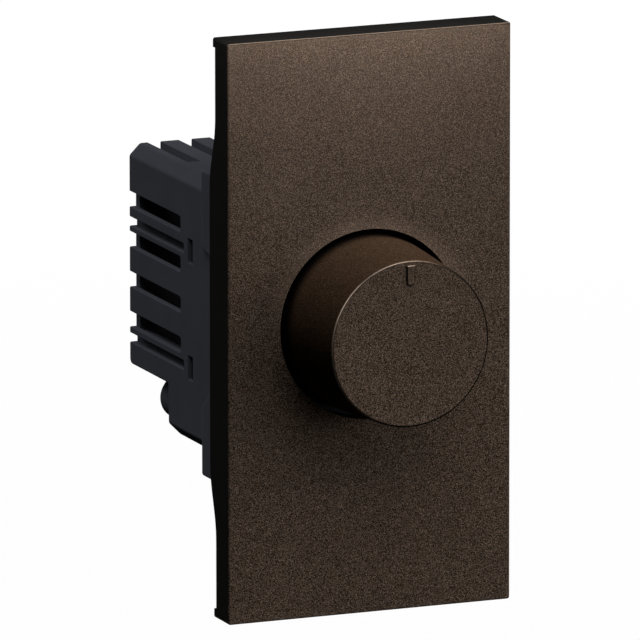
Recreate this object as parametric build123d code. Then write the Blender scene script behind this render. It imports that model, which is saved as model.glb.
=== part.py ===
"""Rotary fan speed controller: a two-module wall insert with cover, knob and mechanism.

X runs across, Y runs back towards the wall and Z is up, in millimetres. The origin is on
the knob's axis, in the plane where the flange of the mechanism seats on its support frame.
"""
import os
from math import asin, cos, degrees, radians, sin, tan

from build123d import *

# Front cover
cover_width = 45.0
cover_height = 87.2
cover_projection = 10.95
cover_face = 2.0
cover_wall = 1.4
cover_side_depth = 4.95
cover_lip_depth = 5.75
cover_belly_depth = 7.2
cover_belly_height = 45.2
cover_belly_run = 7.2
cover_belly_blend = 14.0
cover_corner = 0.35
cover_edge_round = 0.3
cover_gap = 0.2
collar_wall = 1.1
collar_depth = 3.4
cover_ribs = 3
cover_rib = 0.9
cover_rib_depth = 1.2
cover_rib_pitch = 11.0
cover_rib_gap = 1.0

# Snap hooks that hold the cover on the chassis
hook_inset = 2.7
hook_thickness = 1.2
hook_width = 4.0
hook_level = 13.5
hook_barb = 0.6
hook_tail = 1.6
hook_clearance = 0.25

# Knob
knob_front_radius = 12.45
knob_height = 15.45
knob_draft = 3.3
knob_gap = 0.9
knob_floor_gap = 1.2
knob_wall = 1.7
knob_roof = 1.8
knob_edge = 0.2
knob_ribs = 6
knob_rib = 1.0
knob_rib_depth = 7.0
hub_wall = 2.0
hub_clearance = 1.2
hub_slit = 0.8
pointer_width = 1.3
pointer_length = 3.0
pointer_inset = 0.45
pointer_height = 0.3
pointer_round = 0.35
pointer_edge = 0.15
clip_thickness = 0.6
clip_width = 3.0
clip_opening = 50.0

# Rear case
case_margin = 1.0
case_top = 21.0
case_bottom = -20.42
case_depth = 30.8
case_wall = 1.0
case_back_wall = 1.7
case_top_cut = 1.7
case_bottom_cut = 2.0
case_soft = 0.8
case_edge_round = 0.3
case_heel_round = 0.9
step_rise = 7.95
step_depth = 15.25
flange_top = 22.85
flange_bottom = -23.25
flange_round = 0.4
rail_height = 0.8
rail_radius = 2.0
rail_crest = -0.45
rail_end_round = 0.4
rail_upper_gap = 2.06
rail_lower_gap = 1.45
rail_upper_slope = 12.0
rail_lower_slope = 38.0
side_vents = 4
side_vent_drop = 8.35
side_vent_pitch = 6.1
side_vent_height = 2.35
side_vent_start = 10.35
side_vent_corner = 0.5
vent_depth = 1.05
groove_height = 1.4
groove_depth = 1.2
groove_start = 9.05
groove_rib = 1.2
groove_rib_margin = 0.7
top_vents = 8
top_vent_pitch = 5.0
top_vent_width = 2.0
top_vent_start = 14.65
top_rib = 0.6
top_rib_margin = 0.7

# Latches between chassis and case
latch_spacing = 17.7
latch_drop = 11.75
latch_depth = 5.55
latch_length = 1.85
latch_height = 3.6
latch_clearance = 0.15
tongue_thickness = 1.0
tongue_tail = 0.4
tooth_recess = 0.4
tooth_lead = 0.2

# Chassis
chassis_thickness = 2.0
chassis_margin = 0.6
chassis_corner = 2.0
rim_thickness = 1.2
rim_depth = 2.0
fit = 0.1
post_radius = 2.0
peg_radius = 0.9
peg_stub = 0.6
upper_post_edge = 5.05
upper_post_drop = 6.1
lower_post_inset = 8.3
lower_post_rise = 3.0

# Potentiometer
shaft_radius = 3.0
shaft_flat = 1.5
shaft_grip = 11.5
shaft_end_gap = 0.3
shaft_fit = 0.05
bushing_wall = 0.6
bushing_flange = 1.2
bushing_flange_thickness = 0.5
bushing_stub = 0.5
nut_across_flats = 10.0
nut_thickness = 2.0
washer_radius = 6.0
washer_thickness = 0.5
pot_radius = 8.5
pot_wall = 0.8
pot_front_wall = 1.0
pot_length = 6.2
wafer_thickness = 1.1
wafer_ledge = 0.5
rotor_radius = 5.4
rotor_thickness = 1.4
rotor_gap = 0.3
tooth_reach = 1.4
tooth_half_angle = 15.0
knob_travel = 135.0
stop_clearance = 3.0
stop_gap = 0.3
pivot_radius = 1.2
wiper_thickness = 0.3
wiper_width = 1.6
wiper_radius = 4.4
wiper_reach = 6.0
wiper_gap = 0.3
pin_pitch = 4.0
pin_drop = 6.2
pin_width = 0.9

# Circuit board
board_standoff = 7.6
board_thickness = 1.6
board_clearance = 0.35
board_corner_cut = 2.5
leg_radius = 0.4
leg_clearance = 0.1
leg_stub = 1.0

# Choke
choke_outer_radius = 7.4
choke_inner_radius = 4.2
choke_height = 6.5
choke_z = 0.2
choke_edge_gap = 0.8
choke_lift = 1.5
turn_count = 15
turn_width = 1.2
turn_thickness = 0.9
turn_clearance = 0.08

# Capacitors and varistor
film_capacitor_length = 12.5
film_capacitor_thickness = 6.6
film_capacitor_pin_gap = 0.4
film_capacitor_edge = 1.2
film_capacitor_rise = 1.6
timing_capacitor_width = 7.2
timing_capacitor_length = 7.0
timing_capacitor_thickness = 3.4
timing_capacitor_gap = 2.2
timing_capacitor_edge = 8.0
capacitor_round = 0.6
capacitor_leg_inset = 2.0
varistor_radius = 4.4
varistor_thickness = 3.6
varistor_z = 2.4
varistor_edge = 2.6
varistor_lift = 1.0
varistor_leg_spread = 2.5

# Triac and heat sink
sink_clearance = 1.0
sink_thickness = 1.5
sink_width = 30.0
sink_end_gap = 2.55
sink_drop = 12.0
sink_bend = 1.8
sink_foot = 2.4
sink_foot_spread = 22.0
triac_width = 10.0
triac_length = 9.2
triac_thickness = 4.4
tab_length = 6.2
tab_thickness = 1.3
tab_hole_setback = 3.0
tab_end_gap = 0.4
triac_leg_pitch = 2.54
triac_leg_drop = 2.6
sink_screw_radius = 1.5
sink_screw_head_radius = 2.7
sink_screw_head = 1.8
sink_screw_slot = 0.8
thread_clearance = 0.02

# Small axial parts
axial_lead_radius = 0.3
axial_lead_reach = 2.0
resistor_radius = 1.1
resistor_length = 6.0
resistor_edge = 6.55
resistor_upper_z = 4.5
resistor_gap = 1.5
diac_radius = 0.9
diac_length = 4.0
fuse_radius = 1.5
fuse_length = 7.0
fuse_edge = 8.55
fuse_gap = 0.52
fuse_lift = 1.3
axial_lift = 0.2

# Terminals
terminal_inset = 5.0
tube_radius = 3.45
tube_bore = 2.65
tube_length = 7.3
tube_gap = 0.3
cage_width = 5.4
cage_wall = 0.8
cage_gap = 0.4
cage_lift = 0.4
cage_foot = 1.0
entry_width = 3.8
entry_inset = 2.2
terminal_screw_radius = 1.7
screw_head_clearance = 0.15
screw_head_thickness = 2.4
screw_head_stand = 0.8
screw_slot_width = 0.8
screw_slot_depth = 1.1
screw_reach = 4.6
clamp_thickness = 0.9
clamp_margin = 0.3

# Depths along Y, worked out from the sizes above
y_face = -cover_projection
y_cover_inside = y_face + cover_face
y_belly = y_face + cover_belly_depth
y_flange = y_belly + cover_gap
y_chassis = y_flange - chassis_thickness
y_knob_front = y_face - knob_height
y_knob_back = y_chassis - knob_floor_gap
y_knob_roof = y_knob_front + knob_roof
y_washer = y_chassis - washer_thickness
y_nut = y_washer - nut_thickness
y_bushing = y_nut - bushing_stub
y_hub_end = y_bushing - hub_clearance
y_bore_end = y_hub_end - shaft_grip
y_shaft_front = y_bore_end + shaft_end_gap
y_pot_front = y_flange
y_pot_back = y_pot_front + pot_length
y_wafer = y_pot_back - wafer_thickness
y_pot_inside = y_pot_front + pot_front_wall
y_rotor = y_pot_inside + bushing_flange_thickness + rotor_gap
y_rotor_back = y_rotor + rotor_thickness
y_board = y_flange + board_standoff
y_board_back = y_board + board_thickness
y_latch_end = latch_depth + latch_length
y_tube_end = step_depth + tube_length

# Widths, heights and radii worked out from the sizes above
case_width = cover_width - 2 * case_margin
case_half = case_width / 2
cavity_half = case_half - case_wall
cavity_top = case_top - case_wall
cavity_bottom = case_bottom + case_wall
deep_bottom = case_bottom + step_rise
chamfer_inset = case_wall * (2 - 2 ** 0.5)
latch_levels = [case_top - latch_drop, case_top - latch_drop - latch_spacing]
rail_upper_end = latch_levels[0] + rail_upper_gap
rail_lower_end = latch_levels[1] - rail_lower_gap
knob_slope = tan(radians(knob_draft))
knob_base_radius = knob_front_radius + knob_slope * knob_height
knob_hole_radius = knob_base_radius + knob_gap
hub_radius = shaft_radius + hub_wall
bushing_bore = shaft_radius + shaft_fit
bushing_radius = bushing_bore + bushing_wall
hook_x = cavity_half - rim_thickness - hook_inset
tongue_outer = cavity_half - fit
tongue_inner = tongue_outer - tongue_thickness
tooth_outer = case_half - tooth_recess
board_half = tongue_inner - board_clearance
board_top = cavity_top - board_clearance
board_bottom = cavity_bottom + board_clearance
terminal_x = case_half - terminal_inset
terminal_z = deep_bottom - tube_radius - tube_gap
upper_post_x = board_half - upper_post_edge
upper_post_z = cavity_top - upper_post_drop
lower_post_x = terminal_x - lower_post_inset
lower_post_z = cavity_bottom + lower_post_rise
post_places = [
    (upper_post_x, upper_post_z),
    (-upper_post_x, upper_post_z),
    (lower_post_x, lower_post_z),
    (-lower_post_x, lower_post_z),
]
terminal_places = [(-terminal_x, terminal_z), (terminal_x, terminal_z)]
over = 1.0


def block(x0, x1, y0, y1, z0, z1):
    """Box between two opposite corners."""
    centre = Pos((x0 + x1) / 2, (y0 + y1) / 2, (z0 + z1) / 2)
    return centre * Box(abs(x1 - x0), abs(y1 - y0), abs(z1 - z0))


def slab(profile, front, back):
    """Extrude a profile drawn in X and Z from depth front to depth back."""
    return extrude(Plane.XZ.offset(-back) * profile, amount=back - front)


def rod(radius, front, back, x=0.0, z=0.0):
    """Cylinder along Y."""
    return slab(Pos(x, z) * Circle(radius), front, back)


def turned(points):
    """Revolve a closed outline of (radius, depth) points about the knob's axis."""
    return revolve(make_face(Polyline(*points, close=True)), Axis.Y)


def sideways(points, x0, x1):
    """Extrude a closed outline of (depth, height) points from x0 to x1."""
    return extrude(Plane.YZ.offset(x0) * make_face(Polyline(*points, close=True)), amount=x1 - x0)


def sector(inner, outer, half_angle, middle):
    """Piece of a ring, half_angle to each side of the direction middle, in degrees from +X."""
    reach = 2 * outer
    wedge_points = [(0.0, 0.0)]
    for turn in (-half_angle, 0.0, half_angle):
        angle = radians(middle + turn)
        wedge_points.append((reach * cos(angle), reach * sin(angle)))
    wedge = make_face(Polyline(*wedge_points, close=True))
    return (Circle(outer) - Circle(inner)) & wedge


def d_profile(radius, flat):
    """Round section with a flat cut on its upper side."""
    return Circle(radius) - Pos(0, flat + radius) * Rectangle(2 * radius, 2 * radius)


def case_profile(half, top, bottom, top_cut, bottom_cut=0.0, soft=0.0):
    """Outline of the case in X and Z with bevelled corners, softened where asked."""
    outline = Pos(0, (top + bottom) / 2) * Rectangle(2 * half, top - bottom)
    outline = chamfer(outline.vertices().sort_by(Axis.Y)[2:], top_cut)
    if bottom_cut:
        outline = chamfer(outline.vertices().sort_by(Axis.Y)[:2], bottom_cut)
    if soft:
        corners = outline.vertices().sort_by(Axis.Y)
        outline = fillet(corners if bottom_cut else corners[2:], soft)
    return outline


def side_cut(side, depth, front, back, level, height, corner):
    """Slot sunk into a side wall of the case, with rounded corners."""
    outline = Pos((front + back) / 2, level) * RectangleRounded(back - front, height, corner)
    floor = Plane.YZ.offset(side * (case_half - depth))
    return extrude(floor * outline, amount=side * (depth + over))


def legs(places, front):
    """Round wire legs that run from a component at depth front through the board."""
    return [rod(leg_radius, y_board - leg_stub, front, x, z) for x, z in places]


def make_front_cover():
    """Flat cover: bevelled-edge shell, deeper beside the mechanism, with collar and hooks."""
    half_height = cover_height / 2
    belly = cover_belly_height / 2
    outer = slab(RectangleRounded(cover_width, cover_height, cover_corner), y_face, y_belly)
    outer = fillet(outer.faces().sort_by(Axis.Y)[0].edges(), cover_edge_round)
    inner_size = (cover_width - 2 * cover_wall, cover_height - 2 * cover_wall)
    shell = outer - slab(Rectangle(*inner_size), y_cover_inside, y_belly + over)

    upper = [
        (y_face + cover_lip_depth, half_height + over),
        (y_face + cover_lip_depth, half_height - cover_wall),
        (y_face + cover_side_depth, half_height - cover_wall),
        (y_face + cover_side_depth, belly + cover_belly_run),
        (y_belly, belly),
    ]
    lower = [(depth, -level) for depth, level in reversed(upper)]
    front = [(y_face - over, -half_height - over), (y_face - over, half_height + over)]
    side_view = make_face(Polyline(*front, *upper, *lower, close=True))
    bends = [v for v in side_view.vertices() if abs(v.Y) < belly + cover_belly_run + fit]
    side_view = fillet(bends, cover_belly_blend)
    shell = shell & extrude(Plane.YZ * side_view, amount=cover_width, both=True)

    y_collar = y_face + collar_depth
    shell = shell + rod(knob_hole_radius + collar_wall, y_cover_inside - fit, y_collar)
    shell = shell - rod(knob_hole_radius, y_face - over, y_collar + over)
    for side in (-1, 1):
        for level in (-hook_level, hook_level):
            shell = shell + cover_hook(side, level)
    for index in range(cover_ribs):
        shell = shell + cover_stiffeners((index - (cover_ribs - 1) / 2) * cover_rib_pitch)
    return shell


def cover_stiffeners(x):
    """Ribs on the cover's back at one place across, one above and one below the mechanism."""
    end = cover_height / 2 - cover_wall + fit
    left = x - cover_rib / 2
    right = x + cover_rib / 2
    front = y_cover_inside - fit
    back = y_cover_inside + cover_rib_depth
    upper = block(left, right, front, back, flange_top + cover_rib_gap, end)
    return upper + block(left, right, front, back, -end, flange_bottom - cover_rib_gap)


def cover_hook(side, level):
    """Snap hook: an arm from the cover's back with a barb that catches behind the chassis."""
    y_catch = y_flange + fit / 2
    y_tip = y_catch + hook_tail
    outline = [
        (hook_x, y_cover_inside - fit),
        (hook_x + hook_thickness, y_cover_inside - fit),
        (hook_x + hook_thickness, y_catch),
        (hook_x + hook_thickness + hook_barb, y_catch),
        (hook_x + hook_thickness, y_tip),
        (hook_x, y_tip),
    ]
    arm = make_face(Polyline(*[(side * x, y) for x, y in outline], close=True))
    return extrude(Pos(0, 0, level) * arm, amount=hook_width / 2, both=True)


def knob_radius(depth):
    """Outer radius of the drafted knob at a depth."""
    return knob_front_radius + knob_slope * (depth - y_knob_front)


def make_knob():
    """Drafted cap with a slit hub, ribs and a raised pointer."""
    cap = turned([
        (0, y_knob_front),
        (knob_front_radius - knob_edge, y_knob_front),
        (knob_radius(y_knob_front + knob_edge), y_knob_front + knob_edge),
        (knob_radius(y_knob_back), y_knob_back),
        (knob_radius(y_knob_back) - knob_wall, y_knob_back),
        (knob_radius(y_knob_roof) - knob_wall, y_knob_roof),
        (0, y_knob_roof),
    ])
    y_clip = y_hub_end - clip_width
    hub = turned([
        (0, y_knob_roof - fit),
        (hub_radius, y_knob_roof - fit),
        (hub_radius, y_clip),
        (hub_radius - clip_thickness, y_clip),
        (hub_radius - clip_thickness, y_hub_end),
        (0, y_hub_end),
    ])
    cap = cap + hub
    rib_end = knob_radius(y_knob_roof) - knob_wall / 2
    rib = block(hub_radius - fit, rib_end, y_knob_roof - fit, y_knob_roof + knob_rib_depth,
                -knob_rib / 2, knob_rib / 2)
    for index in range(knob_ribs):
        cap = cap + Rot(0, index * 360 / knob_ribs, 0) * rib
    bore = slab(d_profile(shaft_radius + shaft_fit, shaft_flat + shaft_fit), y_bore_end, y_hub_end)
    cap = cap - bore
    slit = block(-2 * hub_radius, 2 * hub_radius, y_clip - clip_width, y_hub_end + over,
                 -hub_slit / 2, hub_slit / 2)
    cap = cap - (slit & rod(hub_radius + fit / 2, y_clip - clip_width, y_hub_end))

    top = knob_front_radius - knob_edge - pointer_inset
    bar = Pos(0, top - pointer_length / 2 + over / 2) * Rectangle(pointer_width, pointer_length + over)
    bar = fillet(bar.vertices().sort_by(Axis.Y)[:2], pointer_round) & Circle(top)
    pointer = slab(bar, y_knob_front - pointer_height, y_knob_front + fit)
    return cap + fillet(pointer.faces().sort_by(Axis.Y)[0].edges(), pointer_edge)


def make_knob_clip():
    """Split spring ring on the end of the hub."""
    inner = hub_radius - clip_thickness + shaft_fit
    outer = inner + clip_thickness
    ring = Circle(outer) - Circle(inner) - sector(inner / 2, 2 * outer, clip_opening / 2, 90)
    return slab(ring, y_hub_end - clip_width + fit, y_hub_end)


def make_control_shaft():
    """D-shaft with rotor disc, stop tooth and tail pivot, turned as one piece."""
    y_round = y_hub_end
    shaft = slab(d_profile(shaft_radius, shaft_flat), y_shaft_front, y_round)
    shaft = shaft + rod(shaft_radius, y_round, y_rotor)
    shaft = shaft + rod(rotor_radius, y_rotor, y_rotor_back)
    tooth = sector(rotor_radius - over, rotor_radius + tooth_reach, tooth_half_angle, 90)
    shaft = shaft + slab(tooth, y_rotor, y_rotor_back)
    return shaft + rod(pivot_radius, y_rotor_back, y_pot_back)


def make_wiper():
    """Flat spring on the rotor with two bent contact arms."""
    y_base = y_rotor_back + wiper_thickness
    y_contact = y_wafer - wiper_gap
    base = Circle(wiper_radius) - Circle(pivot_radius + shaft_fit)
    wiper = slab(base, y_rotor_back, y_base)
    for way in (-1, 1):
        root = wiper_radius - wiper_width / 2
        arm = [
            (y_rotor_back, way * root),
            (y_base, way * root),
            (y_contact, way * wiper_reach),
            (y_contact - wiper_thickness, way * wiper_reach),
        ]
        wiper = wiper + sideways(arm, -wiper_width / 2, wiper_width / 2)
    return wiper


def make_pot_bushing():
    """Threaded barrel with a flange that is staked inside the can."""
    y_end = y_pot_inside + bushing_flange_thickness
    return turned([
        (bushing_bore, y_bushing),
        (bushing_radius, y_bushing),
        (bushing_radius, y_pot_inside),
        (bushing_radius + bushing_flange, y_pot_inside),
        (bushing_radius + bushing_flange, y_end),
        (bushing_bore, y_end),
    ])


def make_pot_nut():
    """Hexagon nut on the bushing."""
    outline = RegularPolygon(nut_across_flats / 2, 6, major_radius=False)
    return slab(outline - Circle(bushing_radius + thread_clearance), y_nut, y_washer)


def make_pot_washer():
    """Plain washer between nut and chassis."""
    ring = Circle(washer_radius) - Circle(bushing_radius + fit)
    return slab(ring, y_washer, y_chassis)


def make_pot_housing():
    """Can of the potentiometer with a ledge for the wafer and the rotation stop."""
    inner = pot_radius - pot_wall
    can = turned([
        (bushing_radius + thread_clearance, y_pot_front),
        (pot_radius, y_pot_front),
        (pot_radius, y_pot_back),
        (inner, y_pot_back),
        (inner, y_wafer),
        (inner - wafer_ledge, y_wafer),
        (inner - wafer_ledge, y_pot_inside),
        (bushing_radius + thread_clearance, y_pot_inside),
    ])
    lug_half_angle = 180 - knob_travel - tooth_half_angle - stop_clearance
    lug = sector(rotor_radius + stop_gap, inner, lug_half_angle, -90)
    return can + slab(lug, y_pot_inside - fit, y_rotor_back)


def make_track_wafer():
    """Resistive track carrier that closes the can and guides the tail pivot."""
    disc = Circle(pot_radius - pot_wall - shaft_fit) - Circle(pivot_radius + shaft_fit)
    return slab(disc, y_wafer, y_pot_back)


def pin_places():
    """Places of the three solder pins of the potentiometer."""
    return [(-pin_pitch, -pin_drop), (0, -pin_drop), (pin_pitch, -pin_drop)]


def make_pot_pins():
    """Three square solder pins from the wafer through the board."""
    pins = []
    for x, z in pin_places():
        profile = Pos(x, z) * Rectangle(pin_width, pin_width)
        pins.append(slab(profile, y_pot_back, y_board_back + leg_stub))
    return Compound(children=pins)


def make_chassis():
    """Front carrier: plate, plug rim, board posts and latch tongues in one moulding."""
    plate_half = cover_width / 2 - cover_wall - fit - cover_gap
    plate_height = flange_top - flange_bottom - 2 * chassis_margin
    plate_middle = (flange_top + flange_bottom) / 2
    outline = Pos(0, plate_middle) * RectangleRounded(2 * plate_half, plate_height, chassis_corner)
    chassis = slab(outline, y_chassis, y_flange)

    rim_outer = case_profile(cavity_half - fit, cavity_top - fit, cavity_bottom + fit,
                             case_top_cut - chamfer_inset, case_bottom_cut - chamfer_inset)
    rim_inner = case_profile(cavity_half - fit - rim_thickness, cavity_top - fit - rim_thickness,
                             cavity_bottom + fit + rim_thickness, case_top_cut / 2)
    chassis = chassis + slab(rim_outer - rim_inner, y_flange - fit, y_flange + rim_depth)

    for x, z in post_places:
        chassis = chassis + rod(post_radius, y_flange - fit, y_board, x, z)
        chassis = chassis + rod(peg_radius, y_board - fit, y_board_back + peg_stub, x, z)
    for side in (-1, 1):
        for level in latch_levels:
            chassis = chassis + latch_tongue(side, level)
        for level in (-hook_level, hook_level):
            chassis = chassis - hook_slot(side, level)
    return chassis - rod(bushing_radius + fit, y_chassis - over, y_flange + over)


def latch_tongue(side, level):
    """Tongue along the inside of the case wall with a ramped tooth in the latch window."""
    tongue_half = latch_height / 2 - latch_clearance
    outline = [
        (tongue_inner, y_flange - fit),
        (tongue_outer, y_flange - fit),
        (tongue_outer, latch_depth + latch_clearance),
        (tooth_outer, latch_depth + latch_clearance),
        (tooth_outer, y_latch_end - latch_clearance - tooth_lead),
        (tongue_outer, y_latch_end - latch_clearance),
        (tongue_outer, y_latch_end + tongue_tail),
        (tongue_inner, y_latch_end + tongue_tail),
    ]
    tongue = make_face(Polyline(*[(side * x, y) for x, y in outline], close=True))
    return extrude(Pos(0, 0, level) * tongue, amount=tongue_half, both=True)


def hook_slot(side, level):
    """Slot in the chassis plate for one hook of the cover, with room for its barb to pass."""
    inner = hook_x - hook_clearance - hook_barb
    outer = hook_x + hook_thickness + fit / 2
    half = hook_width / 2 + hook_clearance
    return block(side * inner, side * outer, y_chassis - over, y_flange + rim_depth + over,
                 level - half, level + half)


def make_rear_case():
    """Vented shell with flange, side rails, terminal step and screw tubes."""
    deep_outline = case_profile(case_half, case_top, deep_bottom, case_top_cut, soft=case_soft)
    deep = slab(deep_outline, y_flange, case_depth)
    deep = fillet(deep.faces().sort_by(Axis.Y)[-1].edges().sort_by(Axis.Z)[0], case_heel_round)
    deep = fillet(deep.faces().sort_by(Axis.Y)[-1].edges().sort_by(Axis.Z)[1:], case_edge_round)
    step = slab(case_profile(case_half, case_top, case_bottom, case_top_cut, case_bottom_cut, case_soft),
                y_flange, step_depth)
    flange_outline = RectangleRounded(case_width, flange_top - flange_bottom, flange_round)
    flange = slab(Pos(0, (flange_top + flange_bottom) / 2) * flange_outline, y_flange, 0)
    case = deep + step + flange
    for side in (-1, 1):
        case = case + upper_rail(side) + lower_rail(side)
    for x, z in terminal_places:
        case = case + rod(tube_radius, step_depth - over, y_tube_end, x, z)

    top_cut = case_top_cut - chamfer_inset
    deep_room = case_profile(cavity_half, cavity_top, deep_bottom + case_wall, top_cut)
    case = case - slab(deep_room, y_flange - over, case_depth - case_back_wall)
    step_room = case_profile(cavity_half, cavity_top, cavity_bottom, top_cut, case_bottom_cut - chamfer_inset)
    case = case - slab(step_room, y_flange - over, step_depth - case_wall)

    for side in (-1, 1):
        for level in latch_levels:
            case = case + groove_backing(side, level)
    case = case + top_backing()
    for cut in case_cuts():
        case = case - cut
    return case


def upper_rail(side):
    """Rail above the latch gap, with a rounded upper end and a sloped lower end."""
    y_back = rail_crest + rail_radius
    drop = (y_back - y_flange) * tan(radians(rail_upper_slope))
    rail = rail_bead(side, rail_upper_end - drop, flange_top)
    rail = fillet(rail_rim(rail.faces().sort_by(Axis.Z)[-1], side), flange_round)
    low = rail_upper_end - drop - over
    wedge = [(y_flange, rail_upper_end - drop), (y_back, rail_upper_end), (y_back, low), (y_flange, low)]
    rail = rail - sideways(wedge, side * (case_half - over), side * (case_half + over))
    return fillet(rail_rim(rail.faces().sort_by(Axis.Z)[0], side), rail_end_round)


def lower_rail(side):
    """Rail below the latch gap, with a rounded lower end and a sloped upper end."""
    rail = rail_bead(side, flange_bottom, rail_lower_end)
    rail = fillet(rail_rim(rail.faces().sort_by(Axis.Z)[0], side), flange_round)
    y_back = rail_crest + rail_radius
    drop = (y_back - y_flange) * tan(radians(rail_lower_slope))
    wedge = [(y_flange, rail_lower_end), (y_back, rail_lower_end), (y_back, rail_lower_end - drop)]
    rail = rail - sideways(wedge, side * (case_half - over), side * (case_half + over))
    return fillet(rail_rim(rail.faces().sort_by(Axis.Z)[-1], side), rail_end_round)


def rail_rim(end, side):
    """Edges of one end of a rail that run along the rail's outer surface."""
    return [edge for edge in end.edges() if side * edge.center().X > case_half + rail_height / 4]


def rail_bead(side, low, high):
    """Straight run of a rail, flat with a rounded back edge, from height low to height high."""
    inner = case_half - case_wall / 2
    outer = case_half + rail_height
    across = side * (inner + outer) / 2
    flat = Pos(across, (y_flange + rail_crest) / 2) * Rectangle(outer - inner, rail_crest - y_flange)
    window = Pos(across, rail_crest + rail_radius / 2) * Rectangle(outer - inner, rail_radius)
    rounded = (Pos(side * (outer - rail_radius), rail_crest) * Circle(rail_radius)) & window
    return extrude(Pos(0, 0, low) * (flat + rounded), amount=high - low)


def groove_backing(side, level):
    """Rib inside the side wall that keeps the floor of a guide groove closed."""
    half = groove_height / 2 + groove_rib_margin
    inner = cavity_half - groove_rib
    return block(side * inner, side * (cavity_half + fit), groove_start - groove_rib_margin,
                 case_depth - case_back_wall + fit, level - half, level + half)


def top_backing():
    """Thicker top inside the case, so that the bars between the top vents hide the inside."""
    half = cavity_half - case_top_cut + chamfer_inset - fit
    return block(-half, half, top_vent_start - top_rib_margin, case_depth - case_back_wall + fit,
                 cavity_top - top_rib, cavity_top + fit)


def case_cuts():
    """Vents, guide grooves, latch windows, screw bores and wire entries of the case."""
    cuts = []
    y_open = case_depth + over
    vent_levels = [case_top - side_vent_drop - index * side_vent_pitch for index in range(side_vents)]
    for side in (-1, 1):
        for level in vent_levels:
            cuts.append(side_cut(side, vent_depth, side_vent_start, y_open, level,
                                 side_vent_height, side_vent_corner))
        for level in latch_levels:
            cuts.append(side_cut(side, groove_depth, groove_start, y_open, level,
                                 groove_height, groove_height / 4))
            cuts.append(side_cut(side, case_wall + fit, latch_depth, y_latch_end, level,
                                 latch_height, latch_clearance))
    for index in range(top_vents):
        x = (index - (top_vents - 1) / 2) * top_vent_pitch
        cuts.append(block(x - top_vent_width / 2, x + top_vent_width / 2, top_vent_start, y_open,
                          cavity_top - top_rib - fit, case_top + over))
    for x, z in terminal_places:
        cuts.append(rod(tube_bore, step_depth - case_wall - over, y_tube_end + over, x, z))
        y_entry = y_board_back + entry_inset
        cuts.append(block(x - entry_width / 2, x + entry_width / 2, y_entry, y_entry + entry_width,
                          case_bottom - over, cavity_bottom + fit))
    return cuts


def make_circuit_board():
    """Board with clipped corners, peg holes, sink slots and drilled leg holes."""
    outline = Pos(0, (board_top + board_bottom) / 2) * Rectangle(2 * board_half, board_top - board_bottom)
    outline = chamfer(outline.vertices(), board_corner_cut)
    for x, z in post_places:
        outline = outline - Pos(x, z) * Circle(peg_radius + fit)
    for x, z in leg_places():
        outline = outline - Pos(x, z) * Circle(leg_radius + leg_clearance)
    for x, z in pin_places():
        outline = outline - Pos(x, z) * Rectangle(pin_width + 2 * fit, pin_width + 2 * fit)
    for x in (-sink_foot_spread / 2, sink_foot_spread / 2):
        outline = outline - Pos(x, sink_middle()) * Rectangle(sink_foot + 2 * fit, sink_thickness + 2 * fit)
    return slab(outline, y_board, y_board_back)


def leg_places():
    """Places of every round wire leg that passes through the board."""
    places = choke_leg_places() + film_capacitor_legs() + timing_capacitor_legs()
    places = places + varistor_legs() + triac_legs() + cage_legs() + fuse_ends()
    for x, z, length in axial_parts():
        places = places + axial_ends(z, length, x)
    return places


def choke_centre():
    """Axis of the choke in X and Z, beside the left edge of the board."""
    reach = choke_outer_radius + turn_clearance + turn_thickness
    return (-(board_half - choke_edge_gap - reach), choke_z)


def turn_pitch():
    """Angle between turns at which neighbours just meet on the inside of the core."""
    inner = choke_inner_radius - turn_clearance - turn_thickness
    return 0.97 * 2 * degrees(asin(turn_width / 2 / inner))


def choke_angles():
    """Angles of the turns about the choke's axis, leaving a gap at the lower side."""
    first = 90 - turn_pitch() * (turn_count - 1) / 2
    return [first + index * turn_pitch() for index in range(turn_count)]


def choke_leg_places():
    """Where the two ends of the winding go through the board."""
    x, z = choke_centre()
    reach = choke_outer_radius + turn_clearance + turn_thickness / 2
    ends = (choke_angles()[0], choke_angles()[-1])
    return [(x + reach * cos(radians(a)), z + reach * sin(radians(a))) for a in ends]


def choke_depths():
    """Front and back faces of the choke's core."""
    front = y_board_back + choke_lift + turn_thickness + turn_clearance
    return front, front + choke_height


def make_choke_core():
    """Ring core of pressed iron powder."""
    x, z = choke_centre()
    front, back = choke_depths()
    ring = Circle(choke_outer_radius) - Circle(choke_inner_radius)
    return slab(Pos(x, z) * ring, front, back)


def make_choke_winding():
    """Single-layer winding: turns round the ring, closed up on its inside, with two legs."""
    x, z = choke_centre()
    front, back = choke_depths()
    gap = turn_clearance
    inner = choke_inner_radius - gap
    outer = choke_outer_radius + gap
    loop = block(inner - turn_thickness, outer + turn_thickness, front - gap - turn_thickness,
                 back + gap + turn_thickness, -turn_width / 2, turn_width / 2)
    loop = loop - block(inner, outer, front - gap, back + gap, -turn_width, turn_width)
    winding = None
    for angle in choke_angles():
        turn = Pos(x, 0, z) * Rot(0, -angle, 0) * loop
        winding = turn if winding is None else winding + turn
    for leg in legs(choke_leg_places(), front):
        winding = winding + leg
    return winding


def film_capacitor_box():
    """Left, right, lower and upper limits of the suppression capacitor."""
    left = pin_pitch + pin_width / 2 + film_capacitor_pin_gap
    right = board_half - film_capacitor_edge
    lower = deep_bottom + case_wall + film_capacitor_rise
    return left, right, lower, lower + film_capacitor_thickness


def film_capacitor_legs():
    """Legs of the suppression capacitor."""
    left, right, lower, upper = film_capacitor_box()
    level = (lower + upper) / 2
    return [(left + capacitor_leg_inset, level), (right - capacitor_leg_inset, level)]


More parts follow.
